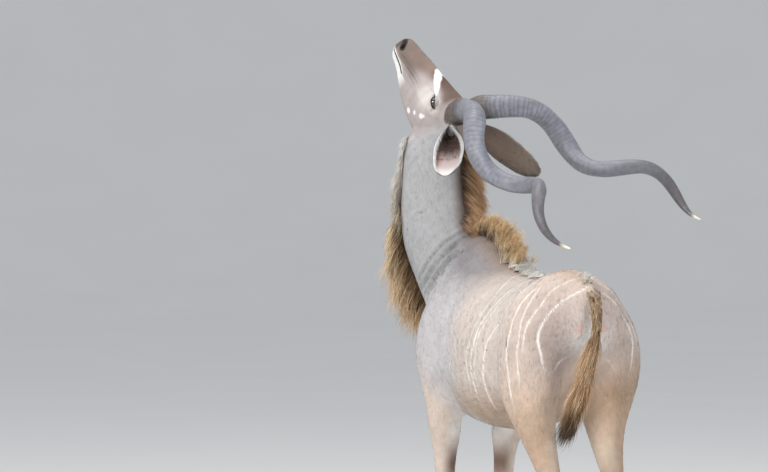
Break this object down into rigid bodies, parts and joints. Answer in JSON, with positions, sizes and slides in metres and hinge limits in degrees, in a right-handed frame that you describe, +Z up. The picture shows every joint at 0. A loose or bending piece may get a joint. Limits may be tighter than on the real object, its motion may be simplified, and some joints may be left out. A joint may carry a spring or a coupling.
{
  "type": "greater kudu",
  "caption": "Life-size still model of a standing antelope bull with spiral horns, head raised and turned, throat fringe and crest mane.",
  "frame": {"origin": "on the floor under the middle of the whole box", "axes": "+Z up, -Y the way the body faces, +X the animal's left side"},
  "size_m": [1.091, 1.6162, 2.1428],
  "materials": {
    "coat": "short fawn-grey hair with thin pale upright stripes",
    "neck_coat": "short grey hair with a long golden mane and throat fringe",
    "face_coat": "short brown-grey hair with white marks",
    "ear_coat": "short hair, white inside",
    "horn": "worn keratin with pale tips",
    "hoof": "dark worn keratin",
    "eye": "dark and wet"
  },
  "bodies": {
    "root": {"head": "face_coat", "neck": "neck_coat", "torso": "coat", "tail": "coat", "horn_left": "horn", "ear_left": "ear_coat", "eye_left": "eye", "horn_right": "horn", "ear_right": "ear_coat", "eye_right": "eye", "foreleg_left_upper": "coat", "foreleg_left_lower": "coat", "hoof_foreleg_left_inner": "hoof", "hoof_foreleg_left_outer": "hoof", "foreleg_right_upper": "coat", "foreleg_right_lower": "coat", "hoof_foreleg_right_inner": "hoof", "hoof_foreleg_right_outer": "hoof", "hindleg_left_upper": "coat", "hindleg_left_lower": "coat", "hoof_hindleg_left_inner": "hoof", "hoof_hindleg_left_outer": "hoof", "hindleg_right_upper": "coat", "hindleg_right_lower": "coat", "hoof_hindleg_right_inner": "hoof", "hoof_hindleg_right_outer": "hoof"}
  },
  "joints": []
}
